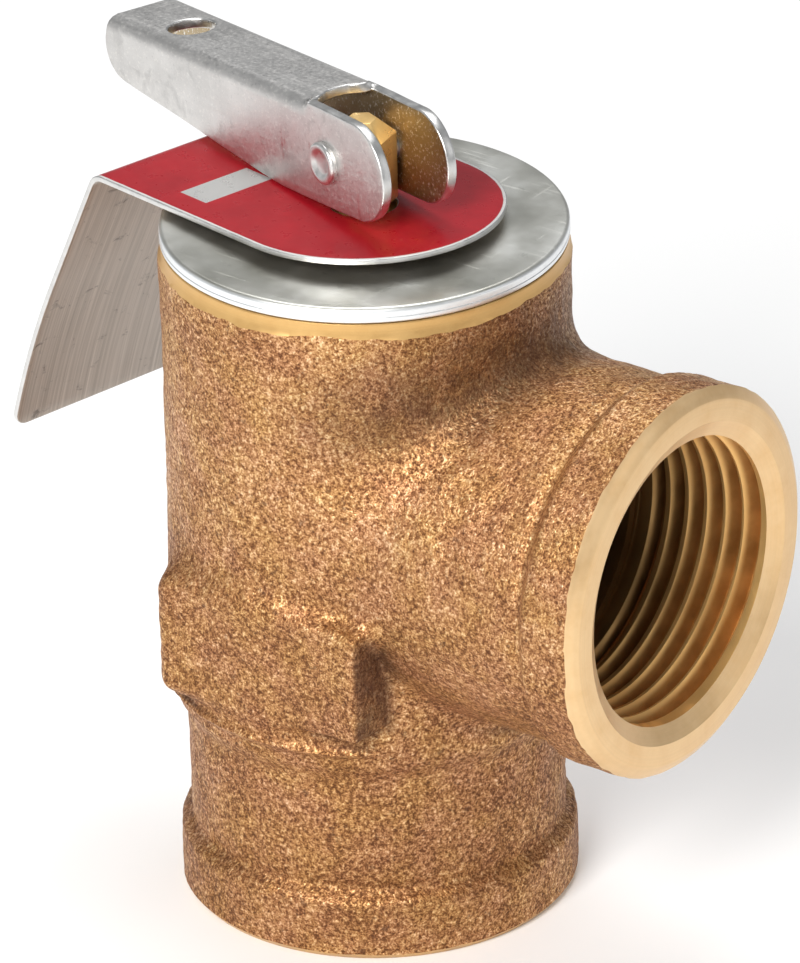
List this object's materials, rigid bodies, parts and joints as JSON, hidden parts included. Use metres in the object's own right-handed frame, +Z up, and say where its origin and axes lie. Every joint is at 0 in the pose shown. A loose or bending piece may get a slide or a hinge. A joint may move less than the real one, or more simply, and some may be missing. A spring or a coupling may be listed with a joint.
{
  "type": "pressure relief valve",
  "caption": "Bronze angle pressure relief valve with threaded inlet below, threaded side outlet, spring chamber with round cap, lifting lever on a hexagon nut and a folded red nameplate.",
  "frame": {"origin": "centre of the inlet's face, where the valve's base ends", "axes": "+Z up along the stem, away from the inlet; +X out of the outlet branch; the marking pad faces -Y"},
  "size_m": [0.0639, 0.0339, 0.0693],
  "materials": {
    "cast_bronze": "as-cast bronze, fine grain",
    "cap_metal": "plated, satin",
    "gasket": "matt fibre",
    "brass": "machined",
    "seal_rubber": "matt",
    "disc_rubber": "matt silicone",
    "steel": "zinc plated",
    "spring_steel": "oiled spring steel",
    "plated_steel": "satin plated",
    "pin_steel": "bright",
    "plate_aluminium": "red print on brushed aluminium"
  },
  "bodies": {
    "valve": {"valve_body": "cast_bronze", "spring_cap": "cap_metal", "cap_gasket": "gasket", "guide_bushing": "brass", "stem_seal": "seal_rubber", "seal_retainer": "steel", "calibration_shims": "steel", "upper_spring_seat": "steel"},
    "disc": {"disc_holder": "brass", "seat_disc": "disc_rubber", "disc_washer": "steel", "disc_screw": "steel", "stem_retainer": "brass", "lower_spring_seat": "steel", "spring": "spring_steel"},
    "stem": {"stem": "brass", "stem_clip": "spring_steel", "lifting_nut": "brass"},
    "lever": {"lever": "plated_steel", "lever_pin": "pin_steel"},
    "plate": {"nameplate": "plate_aluminium"}
  },
  "joints": [
    {"name": "disc_lift", "type": "slide", "parent": "valve", "child": "disc", "axis": [0, 0, 1], "range_m": [0, 0.00418], "stiffness_N_per_m": 4000, "springref_m": -0.008, "deforming": ["spring"]},
    {"name": "stem_swivel", "type": "hinge", "parent": "disc", "child": "stem", "pos_m": [0, 0, 0.06], "axis": [0, 0, 1], "range_deg": [-110, 130]},
    {"name": "lever_hinge", "type": "hinge", "parent": "stem", "child": "lever", "pos_m": [0, 0, 0.06438], "axis": [0.3535, 0.9354, 0], "range_deg": [0, 75]},
    {"name": "plate_swivel", "type": "hinge", "parent": "valve", "child": "plate", "pos_m": [0, 0, 0.0598], "axis": [0, 0, 1], "range_deg": [-110, 130]}
  ],
  "couplings": [
    {"joint": "lever_hinge", "follows": "disc_lift", "rad_per_m": 312.5},
    {"joint": "plate_swivel", "follows": "stem_swivel", "ratio": 1}
  ]
}
